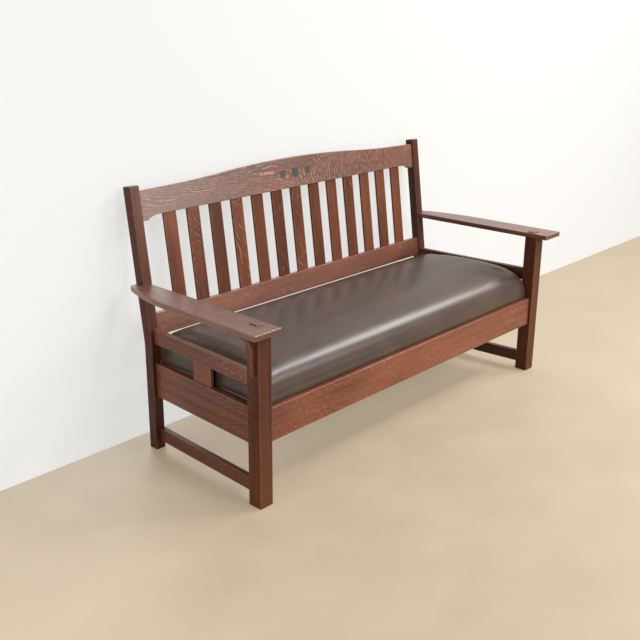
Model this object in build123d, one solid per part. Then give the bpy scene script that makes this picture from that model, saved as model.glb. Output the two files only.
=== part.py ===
from build123d import *
import os
from math import cos, radians, sin, tan

# A mission settle in oak: splayed side frames, a raked slat back with an arched
# crest rail, flat arms on corbels, and an upholstered seat that drops in between
# the seat rails. Lengths are in millimetres and angles in degrees.
#
# It is drawn with x along the settle, the front posts' front faces at y = 0,
# the back towards +y and the floor at z = 0. The finished pieces are then moved
# back so that the origin lies under the middle of the whole.

# Overall plan and heights
span = 1640.0                # over the outer faces of the two front posts
depth = 600.0                # front of the front posts to back of the rear posts
rear_inset = 39.5            # each rear post stands this much further in
rake = 7.7                   # lean of the back
knee_height = 392.0          # where the rear posts start to lean
knee_radius = 150.0
post_slant = 930.0           # rear post's top, measured along the post
arm_height = 601.0           # top of the arms
seat_rail_top = 324.0        # top of all four seat rails

# Posts
post_size = 53.0
rear_post_width = 37.0
rear_post_depth = 38.5
post_ease = 1.5              # rounding of the posts' long edges
post_top_chamfer = 3.0
foot_chamfer = 2.0

# Joinery
joint_gap = 0.2              # clearance round a tenon in its mortise
tenon_root = 5.0             # how far a tenon's solid starts inside its rail
tenon_depth = 20.0
side_tenon_depth = 18.0
rear_side_tenon_depth = 9.0
tenon_cheek = 5.0            # wood taken off each face of a rail to make its tenon
tenon_shoulder = 10.0        # wood taken off its top and bottom edges
board_ease = 1.5             # rounding of the boards' visible edges

# Seat rails
front_rail_recess = 11.0     # behind the posts' front faces
front_rail_thickness = 22.0
front_rail_height = 113.0
rear_rail_recess = 1.5
rear_rail_thickness = 22.0
rear_rail_height = 100.0
rear_rail_front_cheek = 11.0  # its tenons lie behind those of the side rails
rear_rail_back_cheek = 1.5

# Side frames, which follow the splay of the sides
side_recess = 16.5           # of the rails' outer faces behind the posts' outer faces
side_board = 20.0
side_rail_height = 124.0
upper_rail_top = 444.5
upper_rail_height = 50.0
stretcher_recess = 21.0
stretcher_top = 78.0
stretcher_height = 47.0
side_slat_width = 92.0
side_slat_thickness = 12.0
side_slat_recess = 4.0       # behind the side rails' outer faces
side_slat_housing = 12.0     # how deep each end sits in its rail

# Back
back_recess = 7.7            # of the back rails behind the rear posts' front faces
back_rail_thickness = 21.0
lower_rail_top_slant = 495.0
lower_rail_height = 78.0
back_shoulder = 14.0         # of the back rails' tenons, top and bottom
slat_count = 13
slat_width = 54.0
slat_pitch = 103.5
slat_thickness = 10.0
slat_housing = 14.0
slat_ease = 1.0              # rounding of all slats' long edges

# Crest rail: level ends, then an arch
crest_drop = 19.5            # of its top edge at the posts below the posts' tops
crest_height = 86.1          # from there to the bottom edge over the slats
crest_rise = 28.8            # of the middle above the ends
crest_shoulder_rise = 3.0    # of the top edge where its curve begins
crest_shoulder_share = 0.80  # of the half length, from the middle
crest_arch_share = 0.50      # where the hollow curve turns into the arch
crest_pad_drop = 14.6        # ends below that edge
crest_pad_length = 28.0
crest_pad_step = 3.0
crest_cove_length = 46.0
crest_ease = 2.0

# Three square inlays on the crest rail
inlay_drop = 29.1            # of their middles below the crest rail's top edge at the posts
inlay_center_size = 34.0
inlay_side_size = 26.0
inlay_pitch = 69.0
inlay_thickness = 3.0
inlay_gap = 0.1

# Arms
arm_thickness = 19.0
arm_front_overhang = 44.0
arm_side_overhang = 57.0     # at the front, beyond the post's outer face
arm_taper = 12.0             # of the outer edge, from the front to where it curves
arm_straight = 355.0         # behind the front posts' front faces, where the curve begins
arm_rear_overhang = 18.0     # behind the back of the rear posts at the floor
arm_tail_width = 33.0        # outside the rear post
arm_inner_rear_share = 0.26  # of the rear post's width that the inner edge stands outside its face
arm_corner_radius = 12.0
arm_front_radius = 3.0
arm_ease = 3.0
arm_gap = 0.3                # between the arm and the rear post it is notched round

# Through tenon at the top of each front post
through_tenon_width = 38.0
through_tenon_depth = 32.0
through_tenon_setback = 16.0  # of its front behind the post's front face
through_tenon_proud = 3.5
through_tenon_chamfer = 2.5

# Corbels
corbel_thickness = 19.0
corbel_height = 137.0
corbel_top_reach = 46.0
corbel_lip = 8.0
corbel_neck_reach = 15.0
corbel_neck_drop = 57.0
corbel_foot_reach = 10.0
corbel_chamfer = 1.0         # of its visible edges

# Seat cleats and corner braces, inside the seat rails
cleat_width = 28.0
cleat_height = 26.0
cleat_gap = 0.3              # between a cleat and the seat that rests on it
cleat_end_gap = 1.0
brace_height = 30.0
brace_drop = 6.0             # below the cleats
brace_reach = 75.0
brace_width = 30.0

# Drop-in seat
seat_gap = 1.5               # round the seat, inside the rails and posts
leather = 2.0
seat_frame_height = 35.0
seat_frame_width = 60.0
seat_frame_drop = 1.0        # of the frame's top below the seat rails' top
brace_bar_width = 45.0
brace_bar_height = 22.0
brace_bar_share = 0.34       # of the half length, from the middle
web_count = 14
web_width = 50.0
web_thickness = 2.5
web_margin = 8.0             # from the frame's outer edge to a web's end
dust_cover_thickness = 1.0
dust_cover_margin = 4.0      # inside the cleats
padding_gap = 0.2

# Upholstery, measured from the underside of the padding
crown_height = 130.0         # at the top of the crown
front_roll_height = 119.0    # where the front roll meets the crown
front_roll_depth = 65.0
front_face_height = 38.0
front_bulge = 7.5            # of the front face over the front rail
rear_roll_height = 99.0
rear_roll_depth = 20.0
rear_face_height = 72.0
roll_fullness_share = 0.2    # how far each roll swells beyond its chord
crown_place_share = 0.40     # of the depth, from the front
end_drop = 46.0              # of the top at the very end
end_zone = 55.0              # length over which each end rolls down
end_steps = 5                # sections in that length
end_draw = 4.0               # how far the end tucks in at the front and back
middle_crown = 4.0           # extra crown at the middle of the length

# Places worked out from the sizes above
half_span = span / 2
front_inner = half_span - post_size
rear_face = depth - rear_post_depth
rear_outer = half_span - rear_inset
rear_inner = rear_outer - rear_post_width
front_rail_back = front_rail_recess + front_rail_thickness
rear_rail_front = rear_face + rear_rail_recess
arm_underside = arm_height - arm_thickness
post_cheek = (post_size - through_tenon_width) / 2
tenon_reach = (through_tenon_setback, through_tenon_setback + through_tenon_depth)
tenon_top = arm_height + through_tenon_proud
upper_rail_bottom = upper_rail_top - upper_rail_height
back_board_front = rear_face + back_recess
back_board_back = back_board_front + back_rail_thickness
frame_top = seat_rail_top - seat_frame_drop
frame_bottom = frame_top - seat_frame_height
cleat_top = frame_bottom - cleat_gap
cleat_bottom = cleat_top - cleat_height
padding_base = frame_top + web_thickness + padding_gap
seat_front = front_rail_back + seat_gap
seat_rear = rear_face - seat_gap
arm_front = -arm_front_overhang
arm_rear = depth + arm_rear_overhang
crest_end_slant = post_slant - crest_drop
crest_bottom_slant = crest_end_slant - crest_height
crest_pad_slant = crest_bottom_slant - crest_pad_drop
inlay_slant = crest_end_slant - inlay_drop

steep_share = 0.5            # least share of an edge's direction along the axis it follows


def side_x(y):
    """Line of a side: through the outer faces of its front and rear posts."""
    return half_span - rear_inset * y / depth


def side_inner(y):
    """Inner face of the side rails."""
    return side_x(y) - side_recess - side_board


def block(x_range, y_range, z_range):
    """A square block between two places along each axis."""
    ranges = (x_range, y_range, z_range)
    middle = [(low + high) / 2 for low, high in ranges]
    return Pos(*middle) * Box(*[high - low for low, high in ranges])


def prism(points, z_range):
    """An upright prism over a plan outline."""
    face = make_face(Polyline(*[(x, y, z_range[0]) for x, y in points], close=True))
    return extrude(face, amount=z_range[1] - z_range[0], dir=(0, 0, 1))


def side_board_solid(outer, inner, y_range, z_range):
    """A board along the splayed side, between two insets from the side line."""
    front, back = y_range
    plan = [(side_x(front) - outer, front), (side_x(back) - outer, back),
            (side_x(back) - inner, back), (side_x(front) - inner, front)]
    return prism(plan, z_range)


def widened(limits, by):
    """A range made longer at both ends."""
    return (limits[0] - by, limits[1] + by)


def leaned(solid):
    """The upright solid, leaned back with the rear posts above their knees."""
    return solid.rotate(Axis((0, rear_face, knee_height), (1, 0, 0)), -rake)


def mirrored(solid):
    """The same piece for the other side."""
    return mirror(solid, about=Plane.YZ)


def eased(solid, axis, radius):
    """Rounds the edges that run along one axis."""
    return fillet(solid.edges().filter_by(axis), radius)


# Tenons. Each is a function of its clearance, so that the same lines give the
# tenon (none) and the mortise it sits in (joint_gap).

def front_rail_tenon(gap=0):
    """Right-hand tenon of the front seat rail."""
    cheeks = (front_rail_recess + tenon_cheek, front_rail_back - tenon_cheek)
    heights = (seat_rail_top - front_rail_height + tenon_shoulder, seat_rail_top - tenon_shoulder)
    return block((front_inner - tenon_root, front_inner + tenon_depth + gap),
                 widened(cheeks, gap), widened(heights, gap))


def rear_rail_tenon(gap=0):
    """Right-hand tenon of the rear seat rail, set towards its back."""
    cheeks = (rear_rail_front + rear_rail_front_cheek,
              rear_rail_front + rear_rail_thickness - rear_rail_back_cheek)
    heights = (seat_rail_top - rear_rail_height + tenon_shoulder, seat_rail_top - tenon_shoulder)
    return block((rear_inner - tenon_root, rear_inner + tenon_depth + gap),
                 widened(cheeks, gap), widened(heights, gap))


def side_tenons(recess, top, height, gap=0):
    """The two tenons of a side board, as one pair of solids."""
    heights = widened((top - height + tenon_shoulder, top - tenon_shoulder), gap)
    outer = recess + tenon_cheek - gap
    inner = recess + side_board - tenon_cheek + gap
    front = (post_size - side_tenon_depth - gap, post_size + tenon_root)
    lean_reach = max(top - knee_height, 0) * tan(radians(rake))
    back = (rear_face - tenon_root, rear_face + lean_reach + rear_side_tenon_depth + gap)
    return [side_board_solid(outer, inner, reach, heights) for reach in (front, back)]


def back_rail_tenon(bottom, top, gap=0):
    """Right-hand tenon of a back rail, before it is leaned."""
    cheeks = (back_board_front + tenon_cheek, back_board_back - tenon_cheek)
    heights = (bottom + back_shoulder, top - back_shoulder)
    return block((rear_inner - tenon_root, rear_inner + tenon_depth + gap),
                 widened(cheeks, gap), widened(heights, gap))


crest_heights = (crest_pad_slant, crest_end_slant)
lower_rail_heights = (lower_rail_top_slant - lower_rail_height, lower_rail_top_slant)
side_boards = {
    "side_seat_rail": (side_recess, seat_rail_top, side_rail_height),
    "side_upper_rail": (side_recess, upper_rail_top, upper_rail_height),
    "side_stretcher": (stretcher_recess, stretcher_top, stretcher_height),
}


def rear_post_body():
    """Rear post without its mortises: upright, then leaned above the knee."""
    across = (rear_inner, rear_outer)
    lower = block(across, (rear_face, depth), (0, knee_height))
    upper = leaned(block(across, (rear_face, depth), (knee_height, post_slant)))
    body = lower + upper
    knees = [edge for edge in body.edges().filter_by(Axis.X)
             if abs(edge.center().Z - knee_height) < rear_post_depth * tan(radians(rake))]
    return fillet(knees, knee_radius)


def front_post():
    """Front post with its through tenon and the mortises of three rails."""
    post = block((front_inner, half_span), (0, post_size), (0, arm_underside))
    post = chamfer(post.faces().sort_by(Axis.Z)[0].edges(), foot_chamfer)
    post = eased(post, Axis.Z, post_ease)
    tenon = block((front_inner + post_cheek, half_span - post_cheek), tenon_reach,
                  (arm_underside - tenon_root, tenon_top))
    tenon = chamfer(tenon.faces().sort_by(Axis.Z)[-1].edges(), through_tenon_chamfer)
    post += tenon
    post -= front_rail_tenon(joint_gap)
    for recess, top, height in side_boards.values():
        post -= side_tenons(recess, top, height, joint_gap)[0]
    return post


def rear_post():
    """Rear post with the mortises of five rails."""
    post = rear_post_body()
    post = chamfer(post.faces().sort_by(Axis.Z)[-1].edges(), post_top_chamfer)
    post = chamfer(post.faces().sort_by(Axis.Z)[0].edges(), foot_chamfer)
    along = [edge for edge in post.edges() if abs(edge.tangent_at().Z) > cos(radians(2 * rake))]
    post = fillet(along, post_ease)
    post -= rear_rail_tenon(joint_gap)
    for recess, top, height in side_boards.values():
        post -= side_tenons(recess, top, height, joint_gap)[1]
    post -= leaned(back_rail_tenon(*crest_heights, joint_gap))
    post -= leaned(back_rail_tenon(*lower_rail_heights, joint_gap))
    return post


def cross_rail(half_length, y_range, z_range, tenon):
    """A rail along the settle with a tenon at each end."""
    rail = eased(block((-half_length, half_length), y_range, z_range), Axis.X, board_ease)
    return rail + tenon + mirrored(tenon)


def side_slat_solid(gap=0):
    """Short wide slat between the side seat rail and the upper rail."""
    middle = (post_size + rear_face) / 2
    across = (middle - side_slat_width / 2, middle + side_slat_width / 2)
    outer = side_recess + side_slat_recess
    heights = (seat_rail_top - side_slat_housing, upper_rail_bottom + side_slat_housing)
    slat = side_board_solid(outer - gap, outer + side_slat_thickness + gap,
                            widened(across, gap), widened(heights, gap))
    return slat if gap else eased(slat, Axis.Z, slat_ease)


def side_rail(recess, top, height):
    """A board of the side frame, cut to the faces of both posts."""
    reach = (post_size, depth)
    board = side_board_solid(recess, recess + side_board, reach, (top - height, top))
    board = fillet([edge for edge in board.edges() if abs(edge.tangent_at().Y) > steep_share], board_ease)
    board -= rear_wall()
    for tenon in side_tenons(recess, top, height):
        board += tenon
    return board


def rear_wall():
    """Everything behind the rear posts' front faces, to cut the side boards to them."""
    across = (rear_inner - post_size, half_span)
    behind = (rear_face, depth + post_size)
    return block(across, behind, (0, knee_height)) + leaned(block(across, behind, (knee_height, post_slant)))


def side_slat_cut(board):
    """The board with the housing of the side slat."""
    return board - side_slat_solid(joint_gap)


def crest_rail():
    """Arched crest rail with coved ends, tenons, slat housings and inlay recesses."""
    shoulder = rear_inner * crest_shoulder_share
    arch = rear_inner * crest_arch_share
    hollow = shoulder - arch
    end_slope = crest_shoulder_rise / (rear_inner - shoulder)
    # height at which a hollow curve and an arch meet with one tangent
    meeting = ((crest_shoulder_rise + hollow * end_slope / 2 + hollow * crest_rise / arch)
               / (1 + hollow / arch))
    y = back_board_front

    def at(x, rise):
        return (x, y, crest_end_slant + rise)

    cove_start = rear_inner - crest_pad_length
    cove_end = cove_start - crest_cove_length
    step = crest_pad_slant + crest_pad_step
    right_half = [
        TangentArc(at(shoulder, crest_shoulder_rise), at(arch, meeting),
                   tangent=(-1, 0, end_slope)),
        Line(at(rear_inner, 0), at(shoulder, crest_shoulder_rise)),
        Line(at(rear_inner, 0), (rear_inner, y, crest_pad_slant)),
        Line((rear_inner, y, crest_pad_slant), (cove_start, y, crest_pad_slant)),
        Line((cove_start, y, crest_pad_slant), (cove_start, y, step)),
        TangentArc((cove_end, y, crest_bottom_slant), (cove_start, y, step), tangent=(1, 0, 0)),
    ]
    outline = Curve() + right_half + [mirrored(edge) for edge in right_half]
    outline += ThreePointArc(at(-arch, meeting), at(0, crest_rise), at(arch, meeting))
    outline += Line((-cove_end, y, crest_bottom_slant), (cove_end, y, crest_bottom_slant))
    rail = extrude(make_face(outline), amount=back_rail_thickness, dir=(0, 1, 0))
    rail = fillet([edge for edge in rail.edges() if edge.center().Z > crest_end_slant - crest_ease
                   and abs(edge.tangent_at().X) > steep_share], crest_ease)
    rail = fillet([edge for edge in rail.edges() if edge.center().Z < crest_bottom_slant + crest_ease
                   and abs(edge.tangent_at().X) > steep_share], board_ease)
    tenon = back_rail_tenon(*crest_heights)
    rail = rail + tenon + mirrored(tenon)
    for index in range(slat_count):
        rail -= slat_solid(index, joint_gap)
    for place, size in inlay_places():
        rail -= inlay_solid(place, size, inlay_gap)
    return rail


def inlay_places():
    """Middle and side length of each square inlay."""
    return ((-inlay_pitch, inlay_side_size), (0, inlay_center_size), (inlay_pitch, inlay_side_size))


def inlay_solid(place, size, gap=0):
    """A square let into the crest rail's front face."""
    across = widened((place - size / 2, place + size / 2), gap)
    heights = widened((inlay_slant - size / 2, inlay_slant + size / 2), gap)
    return block(across, (back_board_front, back_board_front + inlay_thickness), heights)


def slat_solid(index, gap=0):
    """One back slat, upright; its ends are housed in the crest and lower rails."""
    middle = (index - (slat_count - 1) / 2) * slat_pitch
    across = widened((middle - slat_width / 2, middle + slat_width / 2), gap)
    face = (back_rail_thickness - slat_thickness) / 2
    through = widened((back_board_front + face, back_board_back - face), gap)
    heights = widened((lower_rail_top_slant - slat_housing, crest_bottom_slant + slat_housing), gap)
    slat = block(across, through, heights)
    return slat if gap else eased(slat, Axis.Z, slat_ease)


def lower_back_rail():
    """Rail under the slats, before it is leaned."""
    rail = cross_rail(rear_inner, (back_board_front, back_board_back), lower_rail_heights,
                      back_rail_tenon(*lower_rail_heights))
    for index in range(slat_count):
        rail -= slat_solid(index, joint_gap)
    return rail


def arm():
    """Flat arm: straight inner edge, outer edge curved in to a tail beside the rear post."""
    z = arm_underside
    front_outer = half_span + arm_side_overhang
    curve_start = front_outer - arm_taper
    rear_outer_edge = rear_outer + arm_tail_width
    inner_rear = rear_inner + rear_post_width * arm_inner_rear_share
    taper = arm_taper / (arm_straight - arm_front)
    corners = [(front_inner, arm_front, z), (front_outer, arm_front, z),
               (curve_start, arm_straight, z), (rear_outer_edge, arm_rear, z),
               (inner_rear, arm_rear, z)]
    outline = Curve() + [
        Line(corners[0], corners[1]),
        Line(corners[1], corners[2]),
        TangentArc(corners[2], corners[3], tangent=(-taper, 1, 0)),
        Line(corners[3], corners[4]),
        Line(corners[4], corners[0]),
    ]
    board = extrude(make_face(outline), amount=arm_thickness, dir=(0, 0, 1))
    upright = board.edges().filter_by(Axis.Z)
    board = fillet(upright.filter_by(lambda edge: edge.center().Y > rear_face
                                     and edge.center().X > rear_outer), arm_corner_radius)
    upright = board.edges().filter_by(Axis.Z)
    board = fillet(upright.filter_by(lambda edge: edge.center().Y < 0), arm_front_radius)
    rims = board.faces().sort_by(Axis.Z)
    board = fillet(rims[0].edges() + rims[-1].edges(), arm_ease)
    across = (rear_inner - post_size, rear_outer + arm_gap)
    behind = (rear_face - arm_gap, depth + post_size)
    board -= leaned(block(across, behind, (knee_height, post_slant)))
    mortise = block(widened((front_inner + post_cheek, half_span - post_cheek), joint_gap),
                    widened(tenon_reach, joint_gap), (arm_underside - tenon_root, tenon_top))
    return board - mortise


def corbel():
    """Bracket under the arm, on the outer face of the front post."""
    y = (post_size - corbel_thickness) / 2
    x = half_span
    top = arm_underside
    neck = (x + corbel_neck_reach, y, top - corbel_neck_drop)
    foot = (x + corbel_foot_reach, y, top - corbel_height)
    lip = (x + corbel_top_reach, y, top - corbel_lip)
    taper = (corbel_neck_reach - corbel_foot_reach) / (corbel_height - corbel_neck_drop)
    outline = Curve() + [
        Line((x, y, top), (x + corbel_top_reach, y, top)),
        Line((x + corbel_top_reach, y, top), lip),
        TangentArc(neck, lip, tangent=(taper, 0, 1)),
        Line(neck, foot),
        Line(foot, (x, y, top - corbel_height)),
        Line((x, y, top - corbel_height), (x, y, top)),
    ]
    bracket = extrude(make_face(outline), amount=corbel_thickness, dir=(0, 1, 0))
    shown = [edge for edge in bracket.edges()
             if x < edge.center().X and edge.center().Z < top and abs(edge.tangent_at().Y) < steep_share]
    return chamfer(shown, corbel_chamfer)


def cleat_along(y_range):
    """A cleat along the front or rear seat rail, between the side cleats' lines."""
    half_length = min(front_inner, rear_inner) - cleat_end_gap
    return block((-half_length, half_length), y_range, (cleat_bottom, cleat_top))


def side_cleat():
    """A cleat along the side seat rail, between the front and rear cleats."""
    inset = side_recess + side_board
    reach = widened((front_rail_back + cleat_width, rear_rail_front - cleat_width), -cleat_end_gap)
    return side_board_solid(inset, inset + cleat_width, reach, (cleat_bottom, cleat_top))


def corner_brace(rail_face, towards):
    """A diagonal brace from the front or rear rail to the side rail."""
    heights = (cleat_bottom - brace_drop - brace_height, cleat_bottom - brace_drop)
    near = rail_face + towards * (brace_reach - brace_width)
    far = rail_face + towards * brace_reach
    corner = min(front_inner, side_inner(rail_face))
    plan = [(corner - brace_reach, rail_face), (corner - brace_reach + brace_width, rail_face),
            (side_inner(near), near), (side_inner(far), far)]
    return prism(plan, heights)


def seat_half(y):
    """Half length of the seat: between the front posts, and between the side rails behind."""
    front_half = front_inner - seat_gap
    rear_half = side_inner(seat_rear) - seat_gap
    return front_half + (rear_half - front_half) * (y - seat_front) / (seat_rear - seat_front)


def seat_prism(inset, z_range):
    """The seat's plan, drawn in by an inset, as an upright prism."""
    front, rear = seat_front + inset, seat_rear - inset
    plan = [(-seat_half(front) + inset, front), (seat_half(front) - inset, front),
            (seat_half(rear) - inset, rear), (-seat_half(rear) + inset, rear)]
    return prism(plan, z_range)


def seat_frame_bar(y_range):
    """A long bar of the seat frame."""
    front, rear = y_range
    plan = [(-seat_half(front) + leather, front), (seat_half(front) - leather, front),
            (seat_half(rear) - leather, rear), (-seat_half(rear) + leather, rear)]
    return prism(plan, (frame_bottom, frame_top))


frame_front = (seat_front + leather, seat_front + leather + seat_frame_width)
frame_rear = (seat_rear - leather - seat_frame_width, seat_rear - leather)


def seat_frame_end():
    """Right-hand end bar of the seat frame, between the long bars."""
    front, rear = frame_front[1], frame_rear[0]
    plan = [(seat_half(front) - leather - seat_frame_width, front), (seat_half(front) - leather, front),
            (seat_half(rear) - leather, rear), (seat_half(rear) - leather - seat_frame_width, rear)]
    return prism(plan, (frame_bottom, frame_top))


def seat_brace(place):
    """A cross bar of the seat frame, clear of the webbing over it."""
    across = (place - brace_bar_width / 2, place + brace_bar_width / 2)
    return block(across, (frame_front[1], frame_rear[0]),
                 (frame_bottom, frame_bottom + brace_bar_height))


def seat_webs():
    """Webbing straps over the frame, front to back."""
    reach = (seat_front + leather + web_margin, seat_rear - leather - web_margin)
    last = seat_half(seat_rear) - leather - web_margin - web_width / 2
    pitch = 2 * last / (web_count - 1)
    straps = []
    for index in range(web_count):
        middle = -last + index * pitch
        across = (middle - web_width / 2, middle + web_width / 2)
        straps.append(block(across, reach, (frame_top, frame_top + web_thickness)))
    return Part() + straps


def roll_middle(start, end):
    """Middle point of a roll's arc: its chord's middle, pushed outwards."""
    (y0, z0), (y1, z1) = start, end
    chord_y, chord_z = y1 - y0, z1 - z0
    return ((y0 + y1) / 2 - chord_z * roll_fullness_share, (z0 + z1) / 2 + chord_y * roll_fullness_share)


def cushion_section(x, drop, inset):
    """Cross-section of the upholstery at one place along the seat, as a face."""
    draw = end_draw * drop / end_drop
    base = padding_base
    front = seat_front - front_bulge + inset + draw
    rear = seat_rear - inset - draw
    lowered = drop + inset
    squash = (crown_height - lowered) / crown_height

    def at(y, height):
        return (x, y, base + height * squash)

    crown_y = front + (rear - front) * crown_place_share
    face_top = (front, front_face_height)
    roll_end = (front + front_roll_depth, front_roll_height)
    rear_start = (rear - rear_roll_depth, rear_roll_height)
    rear_face_top = (rear, rear_face_height)
    extra = middle_crown * (1 - (x / half_span) ** 2)
    crown = (crown_y, crown_height + extra * (1 - drop / end_drop))
    edges = [
        Line(at(front + front_bulge, 0), at(*face_top)),
        ThreePointArc(at(*face_top), at(*roll_middle(face_top, roll_end)), at(*roll_end)),
        ThreePointArc(at(*roll_end), at(*crown), at(*rear_start)),
        ThreePointArc(at(*rear_start), at(*roll_middle(rear_start, rear_face_top)), at(*rear_face_top)),
        Line(at(*rear_face_top), at(rear, 0)),
        Line(at(rear, 0), at(front + front_bulge, 0)),
    ]
    return make_face(Curve() + edges)


def cushion_solid(inset):
    """Crowned upholstery, rolled down at its ends and trimmed to the seat's plan."""
    half_length = seat_half(seat_front) - inset
    turns = [radians(90 * step / end_steps) for step in range(end_steps + 1)]
    places = [(half_length - end_zone * (1 - cos(turn)), end_drop * (1 - sin(turn))) for turn in turns]
    stations = [(-x, drop) for x, drop in places] + [(0, 0)] + [(x, drop) for x, drop in reversed(places)]
    body = loft([cushion_section(x, drop, inset) for x, drop in stations], ruled=True)
    top = padding_base + crown_height + middle_crown
    front, rear = seat_front - front_bulge, seat_rear
    plan = [(-seat_half(front) + inset, front), (seat_half(front) - inset, front),
            (seat_half(rear) - inset, rear), (-seat_half(rear) + inset, rear)]
    return body & prism(plan, (padding_base, top))


def seat_leather():
    """Leather cover: over the padding and down the sides of the seat frame."""
    outer = cushion_solid(0) + seat_prism(0, (frame_bottom, padding_base))
    inner = cushion_solid(leather) + seat_prism(leather, (frame_bottom, padding_base))
    return outer - inner


def dust_cover():
    """Cloth under the seat frame, inside the cleats."""
    inset = cleat_width + dust_cover_margin + side_recess
    return seat_prism(inset, (frame_bottom - dust_cover_thickness, frame_bottom))


def build():
    """All pieces by name, as drawn."""
    pieces = {}
    pairs = {
        "front_post": front_post(),
        "rear_post": rear_post(),
        "arm": arm(),
        "corbel": corbel(),
        "side_slat": side_slat_solid(),
        "seat_cleat": side_cleat(),
        "corner_brace_front": corner_brace(front_rail_back, 1),
        "corner_brace_rear": corner_brace(rear_rail_front, -1),
        "seat_frame_end": seat_frame_end(),
    }
    for name, sizes in side_boards.items():
        pairs[name] = side_rail(*sizes)
    for name in ("side_seat_rail", "side_upper_rail"):
        pairs[name] = side_slat_cut(pairs[name])
    for name, right in pairs.items():
        pieces[name + "_right"] = right
        pieces[name + "_left"] = mirrored(right)

    pieces["front_seat_rail"] = cross_rail(
        front_inner, (front_rail_recess, front_rail_back),
        (seat_rail_top - front_rail_height, seat_rail_top), front_rail_tenon())
    pieces["rear_seat_rail"] = cross_rail(
        rear_inner, (rear_rail_front, rear_rail_front + rear_rail_thickness),
        (seat_rail_top - rear_rail_height, seat_rail_top), rear_rail_tenon())
    pieces["crest_rail"] = leaned(crest_rail())
    pieces["lower_back_rail"] = leaned(lower_back_rail())
    for index in range(slat_count):
        pieces[f"back_slat_{index + 1:02d}"] = leaned(slat_solid(index))
    for name, (place, size) in zip(("left", "center", "right"), inlay_places()):
        pieces["crest_inlay_" + name] = leaned(inlay_solid(place, size))

    pieces["seat_cleat_front"] = cleat_along((front_rail_back, front_rail_back + cleat_width))
    pieces["seat_cleat_rear"] = cleat_along((rear_rail_front - cleat_width, rear_rail_front))
    pieces["seat_frame_front"] = seat_frame_bar(frame_front)
    pieces["seat_frame_rear"] = seat_frame_bar(frame_rear)
    for side, name in ((-1, "left"), (1, "right")):
        pieces["seat_brace_" + name] = seat_brace(side * seat_half(seat_front) * brace_bar_share)
    pieces["seat_webbing"] = seat_webs()
    pieces["seat_padding"] = cushion_solid(leather + padding_gap)
    pieces["seat_leather"] = seat_leather()
    pieces["seat_dust_cover"] = dust_cover()
    return pieces


def main():
    """Write every piece, with the origin under the middle of the settle."""
    os.makedirs("parts", exist_ok=True)
    pieces = build()
    boxes = [solid.bounding_box() for solid in pieces.values()]
    middle = (min(box.min.Y for box in boxes) + max(box.max.Y for box in boxes)) / 2
    for name, solid in pieces.items():
        export_step(Pos(0, -middle, 0) * solid, f"parts/{name}.step")


main()
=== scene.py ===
"""The looks of an oak mission settle with dark square inlays and a crowned leather seat."""

import logging
import math
from dataclasses import dataclass, field
from enum import Enum

import bmesh
import bpy
from mathutils import Matrix, Vector, noise


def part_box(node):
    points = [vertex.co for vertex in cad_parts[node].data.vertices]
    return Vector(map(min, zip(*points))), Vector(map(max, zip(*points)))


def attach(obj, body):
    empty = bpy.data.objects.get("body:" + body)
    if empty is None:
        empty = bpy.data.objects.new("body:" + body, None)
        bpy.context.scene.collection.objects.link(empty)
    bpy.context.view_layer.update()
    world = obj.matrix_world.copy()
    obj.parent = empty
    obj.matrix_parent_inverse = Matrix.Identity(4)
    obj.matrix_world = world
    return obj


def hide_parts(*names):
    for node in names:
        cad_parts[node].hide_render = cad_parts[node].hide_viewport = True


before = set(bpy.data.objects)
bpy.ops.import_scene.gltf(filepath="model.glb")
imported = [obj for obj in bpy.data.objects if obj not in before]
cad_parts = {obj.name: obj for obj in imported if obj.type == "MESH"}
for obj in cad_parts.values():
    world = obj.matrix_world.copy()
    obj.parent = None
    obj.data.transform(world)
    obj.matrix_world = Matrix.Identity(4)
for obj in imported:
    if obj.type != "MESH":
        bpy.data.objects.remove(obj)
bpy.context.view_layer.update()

LOG = logging.getLogger("settle")

Socket = bpy.types.NodeSocket
Tree = bpy.types.NodeTree
Material = bpy.types.Material
Piece = bpy.types.Object
Shape = bmesh.types.BMesh
Corner = bmesh.types.BMVert
Edge = bmesh.types.BMEdge
Face = bmesh.types.BMFace
Colour = tuple[float, float, float]
Value = float | tuple | Vector | Socket

MM = 0.001
UP, DOWN = Vector((0, 0, 1)), Vector((0, 0, -1))
LEAN = math.radians(7.7)            # of the back
SPLAY = math.atan2(39.5, 600.0)     # of the side frames, in towards the back


def opaque(colour: Colour) -> tuple[float, float, float, float]:
    """A colour with full alpha, as sockets want it."""
    return (*colour, 1.0)


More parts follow.
